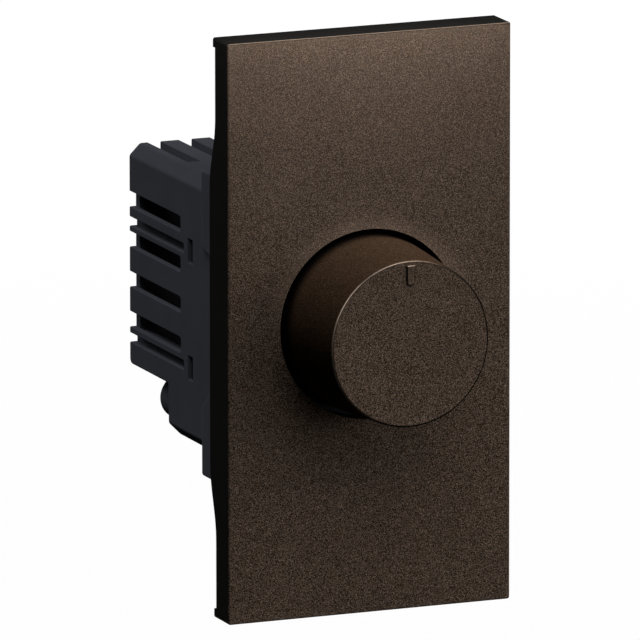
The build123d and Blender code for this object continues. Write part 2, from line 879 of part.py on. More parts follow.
def boxed_capacitor(left, right, lower, upper, length, places):
    """Potted capacitor: rounded box on the board with wire legs."""
    centre = Pos((left + right) / 2, (lower + upper) / 2)
    outline = centre * RectangleRounded(right - left, upper - lower, capacitor_round)
    body = slab(outline, y_board_back, y_board_back + length)
    for leg in legs(places, y_board_back + fit):
        body = body + leg
    return body


def make_suppression_capacitor():
    """Large film capacitor across the supply."""
    return boxed_capacitor(*film_capacitor_box(), film_capacitor_length, film_capacitor_legs())


def timing_capacitor_box():
    """Left, right, lower and upper limits of the timing capacitor."""
    right = board_half - timing_capacitor_edge
    upper = sink_lower() - triac_thickness - timing_capacitor_gap
    return right - timing_capacitor_width, right, upper - timing_capacitor_thickness, upper


def timing_capacitor_legs():
    """Legs of the timing capacitor."""
    left, right, lower, upper = timing_capacitor_box()
    level = (lower + upper) / 2
    return [(left + capacitor_leg_inset / 2, level), (right - capacitor_leg_inset / 2, level)]


def make_timing_capacitor():
    """Small film capacitor that sets the firing delay."""
    return boxed_capacitor(*timing_capacitor_box(), timing_capacitor_length, timing_capacitor_legs())


def varistor_x():
    """Middle of the varistor in X."""
    return board_half - varistor_edge - varistor_radius


def varistor_legs():
    """Legs of the varistor."""
    x = varistor_x()
    return [(x - varistor_leg_spread, varistor_z), (x + varistor_leg_spread, varistor_z)]


def make_varistor():
    """Coated disc that stands on two legs."""
    y_centre = y_board_back + varistor_lift + varistor_radius
    disc = Pos(varistor_x(), y_centre, varistor_z) * Cylinder(varistor_radius, varistor_thickness)
    for leg in legs(varistor_legs(), y_centre):
        disc = disc + leg
    return disc


def sink_lower():
    """Underside of the heat sink, where the triac's tab lies."""
    return cavity_top - sink_clearance - sink_thickness


def sink_middle():
    """Mid-plane of the heat sink plate."""
    return sink_lower() + sink_thickness / 2


def sink_end():
    """Back face of the heat sink's bent end."""
    return case_depth - case_back_wall - sink_end_gap


def tab_end():
    """Back end of the triac's tab, just in front of the heat sink's bent end."""
    return sink_end() - sink_thickness - tab_end_gap


def tab_hole_depth():
    """Depth of the screw that holds the triac's tab."""
    return tab_end() - tab_hole_setback


def make_heat_sink():
    """Bent aluminium plate that stands on the board by two feet."""
    y_end = sink_end()
    lower = sink_lower()
    upper = lower + sink_thickness
    outline = make_face(Polyline(
        (y_board_back, lower), (y_end - sink_thickness, lower), (y_end - sink_thickness, upper - sink_drop),
        (y_end, upper - sink_drop), (y_end, upper), (y_board_back, upper), close=True))
    corner = [v for v in outline.vertices() if abs(v.X - y_end) < fit and abs(v.Y - upper) < fit]
    outline = fillet(corner, sink_bend)
    sink = extrude(Plane.YZ * outline, amount=sink_width / 2, both=True)
    for x in (-sink_foot_spread / 2, sink_foot_spread / 2):
        sink = sink + block(x - sink_foot / 2, x + sink_foot / 2, y_board - leg_stub, y_board_back + fit,
                            lower, upper)
    hole = Pos(0, tab_hole_depth(), sink_middle()) * Cylinder(sink_screw_radius + thread_clearance,
                                                             2 * sink_thickness)
    return sink - hole


def triac_legs():
    """Legs of the triac."""
    level = sink_lower() - triac_leg_drop
    return [(-triac_leg_pitch, level), (0, level), (triac_leg_pitch, level)]


def make_triac():
    """Power switch: moulded body on a metal tab, with three legs."""
    top = sink_lower()
    half = triac_width / 2
    y_tab = tab_end() - tab_length
    y_body = y_tab - triac_length
    triac = block(-half, half, y_body, y_tab, top - triac_thickness, top)
    triac = triac + block(-half, half, y_tab - fit, tab_end(), top - tab_thickness, top)
    hole = Pos(0, tab_hole_depth(), top) * Cylinder(sink_screw_radius + fit, 4 * tab_thickness)
    triac = triac - hole
    for leg in legs(triac_legs(), y_body + fit):
        triac = triac + leg
    return triac


def make_heat_sink_screw():
    """Slotted screw from the tab up into the heat sink."""
    seat = sink_lower() - tab_thickness
    top = sink_lower() + sink_thickness
    place = Pos(0, tab_hole_depth(), 0)
    shank = place * Pos(0, 0, (seat + top) / 2) * Cylinder(sink_screw_radius, top - seat)
    head = place * Pos(0, 0, seat - sink_screw_head / 2) * Cylinder(sink_screw_head_radius, sink_screw_head)
    slot = place * Pos(0, 0, seat - sink_screw_head)
    slot = slot * Box(4 * sink_screw_head_radius, sink_screw_slot, sink_screw_head)
    return shank + head - slot


def axial_ends(z, length, x):
    """Board holes of an axial part that lies along Z."""
    reach = length / 2 + axial_lead_reach
    return [(x, z - reach), (x, z + reach)]


def axial_parts():
    """Place and length of each axial part on the front of the board: three resistors and the diac."""
    x = board_half - resistor_edge
    lower_z = resistor_upper_z - resistor_length - 2 * axial_lead_reach - resistor_gap
    return [
        (x, resistor_upper_z, resistor_length),
        (x, lower_z, resistor_length),
        (-x, resistor_upper_z, resistor_length),
        (-x, lower_z, diac_length),
    ]


def axial_part(x, z, length, radius):
    """Small cylinder along Z in front of the board, with bent wire leads."""
    y_axis = y_board - axial_lift - radius
    y_bend = y_axis - axial_lead_radius / 2
    reach = length / 2 + axial_lead_reach
    body = Pos(x, y_axis, z) * Cylinder(radius, length)
    wire = Pos(x, y_axis, z) * Cylinder(axial_lead_radius, 2 * (reach + axial_lead_radius))
    body = body + wire
    for end_x, end_z in axial_ends(z, length, x):
        body = body + rod(axial_lead_radius, y_bend, y_board_back + leg_stub, end_x, end_z)
    return body


def make_resistors():
    """Three resistors of the firing circuit."""
    return Compound(children=[axial_part(*place, resistor_radius) for place in axial_parts()[:3]])


def make_diac():
    """Trigger diode."""
    return axial_part(*axial_parts()[3], diac_radius)


def fuse_centre():
    """Middle of the fuse in X and Z, just above the choke."""
    choke_top = choke_z + choke_outer_radius + turn_clearance + turn_thickness
    return fuse_edge - board_half, choke_top + fuse_gap + fuse_radius


def fuse_ends():
    """Board holes of the fuse."""
    x, z = fuse_centre()
    reach = fuse_length / 2 + axial_lead_reach / 2
    return [(x - reach, z), (x + reach, z)]


def make_fuse():
    """Axial fuse along X behind the board."""
    y_axis = y_board_back + fuse_lift + fuse_radius
    y_bend = y_axis + axial_lead_radius / 2
    reach = fuse_length / 2 + axial_lead_reach / 2
    x, z = fuse_centre()
    lie = Pos(x, y_axis, z) * Rot(0, 90, 0)
    fuse = lie * Cylinder(fuse_radius, fuse_length)
    fuse = fuse + lie * Cylinder(axial_lead_radius, 2 * (reach + axial_lead_radius))
    for end_x, end_z in fuse_ends():
        fuse = fuse + rod(axial_lead_radius, y_board - leg_stub, y_bend, end_x, end_z)
    return fuse


def cage_depths():
    """Front and back of the terminal cages."""
    return y_board_back + cage_lift, step_depth - case_wall - cage_gap


def cage_legs():
    """Solder feet of the terminal cages."""
    places = []
    for x, z in terminal_places:
        places = places + [(x - cage_foot, z), (x + cage_foot, z)]
    return places


def make_terminal_cages():
    """Two rectangular clamp cages, open along Z for the wire and tapped for the screw."""
    front, back = cage_depths()
    half = cage_width / 2
    cages = []
    for x, z in terminal_places:
        cage = block(x - half, x + half, front, back, z - half, z + half)
        cage = cage - block(x - half + cage_wall, x + half - cage_wall, front + cage_wall, back - cage_wall,
                            z - half - over, z + half + over)
        cage = cage - rod(terminal_screw_radius + thread_clearance, back - 2 * cage_wall, back + over, x, z)
        for leg in legs([(x - cage_foot, z), (x + cage_foot, z)], front + fit):
            cage = cage + leg
        cages.append(cage)
    return Compound(children=cages)


def screw_tip():
    """Depth of the terminal screws' tips, backed off as delivered."""
    return cage_depths()[1] - screw_reach


def make_terminal_screws():
    """Two slotted screws that are driven from behind, through the tubes."""
    y_head = step_depth + screw_head_stand
    y_top = y_head + screw_head_thickness
    head_radius = tube_bore - screw_head_clearance
    screws = []
    for x, z in terminal_places:
        screw = rod(terminal_screw_radius, screw_tip(), y_head + fit, x, z)
        screw = screw + rod(head_radius, y_head, y_top, x, z)
        slot = block(x - 2 * head_radius, x + 2 * head_radius, y_top - screw_slot_depth, y_top + over,
                     z - screw_slot_width / 2, z + screw_slot_width / 2)
        screw = screw - slot
        screws.append(screw)
    return Compound(children=screws)


def make_clamp_plates():
    """Pressure plates at the tips of the terminal screws."""
    half_x = cage_width / 2 - cage_wall - clamp_margin
    half_z = cage_width / 2 - clamp_margin
    plates = []
    for x, z in terminal_places:
        plates.append(block(x - half_x, x + half_x, screw_tip() - clamp_thickness, screw_tip(),
                            z - half_z, z + half_z))
    return Compound(children=plates)


pieces = {
    "front_cover": make_front_cover(),
    "knob": make_knob(),
    "knob_clip": make_knob_clip(),
    "control_shaft": make_control_shaft(),
    "wiper": make_wiper(),
    "chassis": make_chassis(),
    "rear_case": make_rear_case(),
    "pot_bushing": make_pot_bushing(),
    "pot_nut": make_pot_nut(),
    "pot_washer": make_pot_washer(),
    "pot_housing": make_pot_housing(),
    "track_wafer": make_track_wafer(),
    "pot_pins": make_pot_pins(),
    "circuit_board": make_circuit_board(),
    "choke_core": make_choke_core(),
    "choke_winding": make_choke_winding(),
    "suppression_capacitor": make_suppression_capacitor(),
    "timing_capacitor": make_timing_capacitor(),
    "varistor": make_varistor(),
    "heat_sink": make_heat_sink(),
    "triac": make_triac(),
    "heat_sink_screw": make_heat_sink_screw(),
    "resistors": make_resistors(),
    "diac": make_diac(),
    "fuse": make_fuse(),
    "terminal_cages": make_terminal_cages(),
    "terminal_screws": make_terminal_screws(),
    "clamp_plates": make_clamp_plates(),
}

os.makedirs("parts", exist_ok=True)
for name, piece in pieces.items():
    export_step(piece, f"parts/{name}.step")
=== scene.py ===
# %% [markdown]
# # A wall-mounted fan speed controller
# The controller is a tall flat cover with a round knob in front, and a vented mechanism behind it that
# snaps into a wall frame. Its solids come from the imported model, at their real size and in metres. They
# could be modelled a second time here, but two models drift apart. So this lesson only dresses them: a
# camera, a plain studio, and then one finish after another, each made of nodes.

# %% Load the fixed frame
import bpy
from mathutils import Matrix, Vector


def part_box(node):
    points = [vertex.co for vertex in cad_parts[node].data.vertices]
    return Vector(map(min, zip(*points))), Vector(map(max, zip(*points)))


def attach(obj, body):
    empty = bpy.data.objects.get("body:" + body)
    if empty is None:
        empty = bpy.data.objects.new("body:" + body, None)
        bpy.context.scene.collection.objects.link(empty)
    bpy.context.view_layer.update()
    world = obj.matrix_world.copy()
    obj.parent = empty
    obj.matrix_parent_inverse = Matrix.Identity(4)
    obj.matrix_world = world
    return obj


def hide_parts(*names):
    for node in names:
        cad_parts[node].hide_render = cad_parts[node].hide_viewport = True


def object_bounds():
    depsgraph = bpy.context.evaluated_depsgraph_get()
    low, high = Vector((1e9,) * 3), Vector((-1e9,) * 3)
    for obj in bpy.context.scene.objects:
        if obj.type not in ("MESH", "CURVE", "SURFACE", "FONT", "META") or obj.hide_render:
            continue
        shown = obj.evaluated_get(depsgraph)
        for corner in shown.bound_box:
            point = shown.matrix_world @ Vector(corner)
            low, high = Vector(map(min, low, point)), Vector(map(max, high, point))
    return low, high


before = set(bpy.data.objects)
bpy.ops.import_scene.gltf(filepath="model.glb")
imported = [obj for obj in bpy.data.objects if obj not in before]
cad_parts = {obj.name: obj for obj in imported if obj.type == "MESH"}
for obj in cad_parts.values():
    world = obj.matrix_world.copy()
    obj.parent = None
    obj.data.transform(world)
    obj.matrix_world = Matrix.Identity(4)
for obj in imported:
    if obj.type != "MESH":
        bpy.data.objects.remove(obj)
cad_low, cad_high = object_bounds()
MM = 0.001
cad_size = [round(side / MM, 2) for side in cad_high - cad_low]
print("loaded", len(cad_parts), "pieces, size in mm:", cad_size)

# %% [markdown]
# ## Camera
# The picture was taken from far away with a long lens: parallel edges of the cover stay almost parallel.
# A near camera with a short lens could frame the object as well, but its edges would fan out. So the
# camera stands about two metres off, to the left and a little above, and its lens fills the frame.

# %% Camera
import math

import bpy
from mathutils import Matrix, Vector

view_azimuth = math.radians(-22.434)
view_elevation = math.radians(12.086)
view_roll = math.radians(-0.048)
view_distance = 2088.8 * MM
view_shift_right = -7.34 * MM
view_shift_up = 0.57 * MM
sensor_width = 36.0
lens_length = 798.1
far_limit = 20.0
cover_low, cover_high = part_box("front_cover")
cover_front = cover_low.y

sight_right = Vector((math.cos(view_azimuth), math.sin(view_azimuth), 0.0))
sight_back = Vector((
    math.sin(view_azimuth) * math.cos(view_elevation),
    -math.cos(view_azimuth) * math.cos(view_elevation),
    math.sin(view_elevation),
))
sight_up = sight_back.cross(sight_right)
aim = Vector((0.0, cover_front, 0.0)) + sight_right * view_shift_right + sight_up * view_shift_up

lens = bpy.data.cameras.new("camera")
lens.sensor_width = sensor_width
lens.lens = lens_length
lens.clip_end = far_limit
camera = bpy.data.objects.new("camera", lens)
bpy.context.scene.collection.objects.link(camera)
turn = Matrix((sight_right, sight_up, sight_back)).transposed().to_4x4()
roll = Matrix.Rotation(view_roll, 4, "Z")
camera.matrix_world = Matrix.Translation(aim + sight_back * view_distance) @ turn @ roll
bpy.context.scene.camera = camera
bpy.context.scene.view_settings.view_transform = "Standard"
print("camera looks at", [round(c, 4) for c in aim], "from", view_distance, "m away")

# %% [markdown]
# ## Shader maths as Python
# A finish is a small network of nodes. Wiring it by hand hides the idea behind many lines, so one class
# wraps an output socket. Adding or multiplying two of them adds the Math node that does it, and `node`
# makes any other node: its settings first, because they can change which sockets it has, and then its
# values and links.

# %% A socket that can be used in expressions
class Signal:
    """An output socket of a shader tree, or the bare tree to start from."""

    def __init__(self, tree, socket=None):
        self.tree = tree
        self.socket = socket

    def node(self, kind, inputs=None, output=0, stops=None, **settings):
        """Add a node with settings, ramp stops and socket values or links, and return one output."""
        made = self.tree.nodes.new(kind)
        for name, value in settings.items():
            setattr(made, name, value)
        if stops:
            ends = (made.color_ramp.elements[0], made.color_ramp.elements[-1])
            for element, (place, colour) in zip(ends, (stops[0], stops[-1])):
                element.position = place
                element.color = (*colour, 1.0)
            for place, colour in stops[1:-1]:
                made.color_ramp.elements.new(place).color = (*colour, 1.0)
        for name, value in (inputs or {}).items():
            if isinstance(value, Signal):
                self.tree.links.new(value.socket, made.inputs[name])
            elif isinstance(value, tuple) and made.inputs[name].type == "RGBA":
                made.inputs[name].default_value = (*value, 1.0)
            else:
                made.inputs[name].default_value = value
        return Signal(self.tree, made.outputs[output])

    def math(self, operation, first, second=0.0):
        """One Math node on values."""
        return self.node("ShaderNodeMath", {0: first, 1: second}, operation=operation)

    def __add__(self, other):
        return self.math("ADD", self, other)

    def __radd__(self, other):
        return self.math("ADD", other, self)

    def __sub__(self, other):
        return self.math("SUBTRACT", self, other)

    def __rsub__(self, other):
        return self.math("SUBTRACT", other, self)

    def __mul__(self, other):
        return self.math("MULTIPLY", self, other)

    def __rmul__(self, other):
        return self.math("MULTIPLY", other, self)

    def between(self, low, high, steps="SMOOTHSTEP"):
        """Mask that rises from 0 at low to 1 at high."""
        limits = {"Value": self, "From Min": low, "From Max": high}
        return self.node("ShaderNodeMapRange", limits, interpolation_type=steps)

    def band(self, middle, half, edge):
        """Mask that is 1 within half of the middle and fades over edge."""
        away = self.math("ABSOLUTE", self - middle)
        return 1.0 - away.between(half - edge / 2, half + edge / 2)

    def blend(self, first, second):
        """Mix two colours, with this value as the factor."""
        colours = {0: self, 6: first, 7: second}
        return self.node("ShaderNodeMix", colours, output=2, data_type="RGBA")

    def spread(self, first, second, low=0.3, high=0.7):
        """Mix two colours by a noise, whose values crowd between low and high."""
        return self.between(low, high).blend(first, second)

    def place(self):
        """Where a point lies on the piece, in metres."""
        return self.node("ShaderNodeTexCoord", output="Object")

    def scaled_place(self, scale):
        """The place with each of its coordinates multiplied by a number."""
        return self.node("ShaderNodeVectorMath", {0: self.place(), 1: scale}, operation="MULTIPLY")

    def noise(self, scale, detail=2.0, roughness=0.5, stretch=(1.0, 1.0, 1.0)):
        """Noise in the piece's own metres: about one grain for each 1 / scale."""
        values = {"Scale": scale, "Detail": detail, "Roughness": roughness}
        return self.node("ShaderNodeTexNoise", {"Vector": self.scaled_place(stretch), **values})

    def axis(self, name):
        """One coordinate of the piece, in metres."""
        return self.node("ShaderNodeSeparateXYZ", {0: self.place()}, output=name)

    def from_axis(self):
        """Distance from the knob's axis, which runs along Y."""
        flat = self.scaled_place((1.0, 0.0, 1.0))
        return self.node("ShaderNodeVectorMath", {0: flat}, output="Value", operation="LENGTH")

    def facing(self, name):
        """One component of the surface's normal in the piece's own axes."""
        normal = self.node("ShaderNodeTexCoord", output="Normal")
        return self.node("ShaderNodeSeparateXYZ", {0: normal}, output=name)


print("a Signal adds nodes for sums, products, masks, mixes and noise")

# %% [markdown]
# ## A finish to start from
# Every finish below is a material with one Principled shader, the node that holds colour, gloss and metal
# together. What varies over the surface is linked to it, and what is the same all over is set on its
# socket. Fine texture could be real geometry, but pits of a few thousandths of a millimetre would need
# millions of faces. So a Bump node tilts the shading instead, by a height whose real depth is known.

# %% A finish to start from
def start_finish(name):
    """A new material with its Principled shader, and a Signal to build from."""
    material = bpy.data.materials.new(name)
    material.use_nodes = True
    tree = material.node_tree
    return material, tree.nodes["Principled BSDF"], Signal(tree)


def set_shader(shader, **values):
    """Set or link sockets of the Principled shader, named with underscores for spaces."""
    for name, value in values.items():
        socket = shader.inputs[name.replace("_", " ")]
        if isinstance(value, Signal):
            value.tree.links.new(value.socket, socket)
        elif isinstance(value, tuple):
            socket.default_value = (*value, 1.0)
        else:
            socket.default_value = value


def relief(height, depth):
    """Bump from a height in 0 to 1, with its full depth in metres."""
    return height.node("ShaderNodeBump", {"Height": height, "Strength": 1.0, "Distance": depth})


print("helpers for a finish: start_finish, set_shader and relief")

# %% [markdown]
# ## Studio lamps
# The object hangs free in front of white. It is lit from above and from the front, and falls off to black
# on the sides away from the light. One lamp at the camera would flatten it. So three large soft lamps
# share the front, and a strip close above gives the cover its bright upper end. The mechanism has a lamp
# high on the left, steep enough to leave its grooves dark, and one behind that draws its edges. Two more
# light the cover's left wall and the back. The last two, the gleams, are seen only in polished edges.

# %% Lamps
lamps = {  # place in metres, size in metres, power in watts
    "front_left": ((0.00, -0.65, 0.70), (0.60, 0.60), 5.1),
    "front_right": ((0.80, -0.60, 0.40), (0.80, 0.80), 6.2),
    "front_low": ((0.55, -0.92, -0.05), (0.60, 0.60), 3.6),
    "strip": ((0.00, -0.021, 0.0575), (0.060, 0.008), 0.027),
    "back_left": ((-0.55, 0.62, 0.50), (0.45, 0.45), 4.2),
    "side_left": ((-0.40, -0.35, 0.80), (0.40, 0.40), 3.5),
    "back_edge": ((-0.25, 0.95, 0.30), (0.30, 0.30), 6.6),
    "back": ((0.45, 0.98, 0.10), (0.60, 0.40), 6.0),
    "gleam_left": ((-0.70, -0.45, 0.58), (0.60, 0.60), 180.0),
    "gleam_top": ((0.25, -0.22, 0.88), (0.80, 0.50), 265.0),
}


def soft_lamp(name, place, size, power):
    """Rectangular area lamp, turned to the object; a gleam shows only in reflections."""
    data = bpy.data.lights.new(name, "AREA")
    data.shape = "RECTANGLE"
    data.size, data.size_y = size
    data.energy = power
    lamp = bpy.data.objects.new(name, data)
    bpy.context.scene.collection.objects.link(lamp)
    lamp.visible_camera = False
    lamp.visible_diffuse = not name.startswith("gleam")
    lamp.location = place
    lamp.rotation_euler = Vector(place).to_track_quat("Z", "Y").to_euler()
    return lamp


lamp_objects = {name: soft_lamp(name, *settings) for name, settings in lamps.items()}
print("lamps:", list(lamp_objects))

# %% [markdown]
# ## White floor and world
# White all round could come from much more light, but that would wash out the object. Light Path tells a
# material which ray is looking: rays from the camera, from gloss and through glass see a plain white, and
# all the others see a pale floor in a dim room. A little of the floor's own shading stays in the mix for
# shadows.

# %% White floor and world
floor_level = -140 * MM
floor_half = 3.0
floor_white_share = 0.98
room_light = 0.005
white_light = (1.0, 1.0, 1.0)
dim_floor = (0.08, 0.08, 0.08)


def seen(start):
    """1 for rays that look at the background: from the camera, from gloss and through glass."""
    camera_ray = start.node("ShaderNodeLightPath", output="Is Camera Ray")
    glossy_ray = start.node("ShaderNodeLightPath", output="Is Glossy Ray")
    through_ray = start.node("ShaderNodeLightPath", output="Is Transmission Ray")
    either = start.math("MAXIMUM", camera_ray, glossy_ray)
    return start.math("MAXIMUM", either, through_ray)


world = bpy.data.worlds.new("white_world")
world.use_nodes = True
bpy.context.scene.world = world
glow = seen(Signal(world.node_tree)).blend((room_light, room_light, room_light), white_light)
world.node_tree.links.new(glow.socket, world.node_tree.nodes["Background"].inputs["Color"])

floor_mesh = bpy.data.meshes.new("floor")
corners = [(-1, -1), (1, -1), (1, 1), (-1, 1)]
floor_points = [(x * floor_half, y * floor_half, floor_level) for x, y in corners]
floor_mesh.from_pydata(floor_points, [], [(0, 1, 2, 3)])
floor = bpy.data.objects.new("floor", floor_mesh)
bpy.context.scene.collection.objects.link(floor)
material, shader, start = start_finish("pale_floor")
paper = start.noise(40.0).blend((0.78, 0.78, 0.78), (0.82, 0.82, 0.82))
floor_colour = seen(start).blend(dim_floor, paper)
set_shader(shader, Base_Color=floor_colour, Roughness=0.9, Specular_IOR_Level=0.0)
white = start.node("ShaderNodeEmission", {"Color": white_light, "Strength": 1.0})
matte = Signal(start.tree, shader.outputs[0])
mixed = start.node("ShaderNodeMixShader", {0: seen(start) * floor_white_share, 1: matte, 2: white})
start.tree.links.new(mixed.socket, start.tree.nodes["Material Output"].inputs["Surface"])
floor_mesh.materials.append(material)
print("floor lies", -floor_level, "m below the knob's axis")

# %% [markdown]
# ## Edges that show
# No moulded edge is perfectly sharp: each one shows as a thin line of other light. A Bevel modifier could
# roll them all, but it would also roll those inside, which never show. So they are picked one by one: an
# edge is rolled if a ray away from it meets no other part of the piece. Where edges meet at odd angles, a
# roll can come out folded. Its triangles then cover more than its outline does, and that is how it is
# found.

# %% Edges that show
from mathutils.geometry import area_tri, intersect_point_line

ray_start = 0.01 * MM
twist_share = 1.1
twist_area = 0.004 * MM * MM


def shows(edge, hull):
    """True where a ray away from the edge meets no other part of the piece."""
    away = (edge.link_faces[0].normal + edge.link_faces[1].normal).normalized()
    middle = (edge.verts[0].co + edge.verts[1].co) / 2
    return hull.ray_cast(middle + away * ray_start, away)[0] is None


def twisted(work):
    """Faces that fold over themselves: their triangles cover more than their outline does."""
    covered = {}
    for corners in work.calc_loop_triangles():
        area = area_tri(*(corner.vert.co for corner in corners))
        covered[corners[0].face] = covered.get(corners[0].face, 0.0) + area
    limits = {face: face.calc_area() * twist_share + twist_area for face in covered}
    return [face for face, area in covered.items() if area > limits[face]]


def away_from(place, ends):
    """Distance of a place from the straight line between two ends."""
    share = intersect_point_line(place, *ends)[1]
    return (place - ends[0].lerp(ends[1], min(max(share, 0.0), 1.0))).length


print("a face is folded if its triangles cover", twist_share, "times its outline")

# %% [markdown]
# ## Rolling the edges
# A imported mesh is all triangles, and a bevel on a triangle's diagonal would be wrong. So its flat areas
# are first dissolved back into single faces. Only edges that stand out and turn by more than 30 degrees
# are rolled. The work is done in bmesh, on a copy in memory, because it can be thrown away: where rolls
# come out folded, the function names their edges, and it is run again with those kept sharp.

# %% Rolled edges
import bmesh
from mathutils.bvhtree import BVHTree

sharp_turn = math.radians(30)
flat_turn = math.radians(0.5)
weld_distance = 0.002 * MM
least_edge = weld_distance / 10
roll_shape = {"segments": 2, "profile": 0.5, "affect": "EDGES", "clamp_overlap": False}


def roll_edges(mesh, radius, leave, kept_sharp):
    """A welded copy of a mesh with rolled edges, the edges with folded rolls, and the number rolled."""
    work = bmesh.new()
    work.from_mesh(mesh)
    bmesh.ops.remove_doubles(work, verts=work.verts, dist=weld_distance)
    bmesh.ops.dissolve_limit(work, angle_limit=flat_turn, verts=work.verts, edges=work.edges)
    work.edges.index_update()
    hull = BVHTree.FromBMesh(work)
    sharp = [edge for edge in work.edges if edge.is_convex and edge.calc_face_angle(0.0) > sharp_turn]
    rolled = [edge for edge in sharp if shows(edge, hull) and not (leave and leave(edge))]
    rolled = [edge for edge in rolled if edge.index not in kept_sharp]
    lines = {edge.index: [corner.co.copy() for corner in edge.verts] for edge in rolled}
    bmesh.ops.bevel(work, geom=rolled, offset=radius, **roll_shape)
    bmesh.ops.dissolve_degenerate(work, dist=least_edge, edges=work.edges)
    work.normal_update()
    faults = [face.calc_center_median() for face in twisted(work)]
    faulty = {min(lines, key=lambda index: away_from(place, lines[index])) for place in faults}
    return work, faulty, len(rolled)


print("edges are rolled from a turn of", round(math.degrees(sharp_turn)), "degrees")

# %% [markdown]
# ## Softened copies
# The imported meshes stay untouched, so a copy with rolled edges stands in for each moulding that shows.
# Each of its faces can have its own finish. With smooth shading alone, the narrow rolls would bend the
# shading of the wide faces next to them. The Weighted Normal modifier gives wide faces the say, so they
# stay flat.

# %% Softened copies
most_attempts = 12
wide_faces_win = 100


def softened(node, body, radius, finishes, pick=None, leave=None):
    """A rolled copy that replaces a CAD node; pick finds a face's finish, and leave skips an edge."""
    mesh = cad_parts[node].data.copy()
    mesh.materials.clear()
    kept_sharp = set()
    for _ in range(most_attempts):
        work, faulty, rolled = roll_edges(mesh, radius, leave, kept_sharp)
        if not faulty:
            break
        kept_sharp |= faulty
    for edge in work.edges:
        edge.smooth = edge.calc_face_angle(0.0) < sharp_turn
    for face in work.faces:
        face.smooth = True
        face.material_index = finishes.index(pick(face)) if pick else 0
    work.to_mesh(mesh)
    work.free()
    for finish in finishes:
        mesh.materials.append(finish)
    piece = bpy.data.objects.new(node + "_soft", mesh)
    bpy.context.scene.collection.objects.link(piece)
    evened = piece.modifiers.new("flat_faces_stay_flat", "WEIGHTED_NORMAL")
    evened.weight = wide_faces_win
    evened.keep_sharp = True
    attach(piece, body)
    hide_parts(node)
    print(node, "softened:", rolled, "edges rolled,", len(kept_sharp), "kept sharp")
    return piece


print("a roll is tried", most_attempts, "times at most")

# %% [markdown]
# ## Flakes in the lacquer
# The cover's front and the knob are sprayed with a metallic lacquer, full of tiny flakes that come out
# lighter or darker as they lie. A photograph of it would slide over the knob's side, so the flakes are
# cells of a Voronoi texture in the piece's own coordinates, each with a random shade. A power of the
# shade leaves many dark flakes and a few bright ones. Towards the upper end the flakes lie flatter and
# look more alike, and round the upper half of the knob's hole the lacquer is lightened by a painted
# light.

# %% Flakes in the lacquer
flakes_per_metre = 14500.0
glint_power = 4.0
mean_shine = 0.2
clouds_per_metre = 120.0
cloud_share = 0.06
upper_loss = 0.48
# Painted light: the cover's lacquer is lightened round the upper half of the knob's hole.
hole_light_width = 3.5 * MM
hole_light_from = -4.0 * MM
hole_light_to = 6.0 * MM
hole_light_share = 0.18


def contrast(start):
    """Flakes stand out fully up to the knob's axis, and less and less towards the upper end."""
    return 1.0 - start.axis("Z").between(0.0, cover_high.z, "LINEAR") * upper_loss


def hole_painted_light(start, radius):
    """Mask of a painted light that lightens the lacquer round the upper half of a hole."""
    near = 1.0 - start.from_axis().between(radius, radius + hole_light_width, "LINEAR")
    return near * start.axis("Z").between(hole_light_from, hole_light_to)


def flake_level(start, shine):
    """How light each flake is: few bright ones, with a faint cloud over all and mean_shine on average."""
    glint = start.math("POWER", shine, glint_power)
    cloud = start.noise(clouds_per_metre)
    return (glint - mean_shine) * contrast(start) + cloud * cloud_share + (mean_shine - cloud_share / 2)


print("a flake is about", round(1 / (flakes_per_metre * MM), 3), "mm wide")

# %% [markdown]
# ## Bronze lacquer
# A flake's level picks its colour between the dark ground and a light flake, and a second random value
# makes it cooler or warmer. One brown with noise on it would do from far off, but close by it has no
# sparkle. The knob's side is darker and deeper in colour than its front, partly because its flakes lie
# differently and partly as painted shade, and it runs out to a black painted shade where the knob dips
# into its hole. The real spray is matt, so the specular level is zero, and the white room doesn't lie
# over the brown.

# %% Bronze lacquer
ground = (0.0090, 0.0063, 0.0045)
cool_flake = (0.182, 0.144, 0.122)
warm_flake = (0.202, 0.127, 0.077)
side_ground = (0.0080, 0.0043, 0.0025)
side_flake = (0.1210, 0.0735, 0.0450)
base_painted_shade = (0.0030, 0.0022, 0.0018)
base_shade_fade = 2.6 * MM
base_shade_end = cover_front + 0.2 * MM
hole_radius = 13.5 * MM
cover_tone = 1.08
# The knob's lacquer is the cover's, made lighter as a painted light on the knob.
knob_painted_light_tone = 1.2


def shade_of(colour, share):
    """The same hue, lighter or darker."""
    return tuple(c * share for c in colour)


def side_colour(start, level):
    """Darker lacquer on the knob's side, partly painted shade, fading to a black painted shade near the
    hole.
    """
    # The side is darker than the front partly as its flakes lie there, and partly as painted shade.
    deep_and_shaded = (level * 0.7 + 0.08).blend(side_ground, side_flake)
    # Painted shade: the side fades to black towards the cover, where the hole shades the knob's base.
    base_shade_mask = start.axis("Y").between(base_shade_end - base_shade_fade, base_shade_end)
    return base_shade_mask.blend(deep_and_shaded, base_painted_shade)


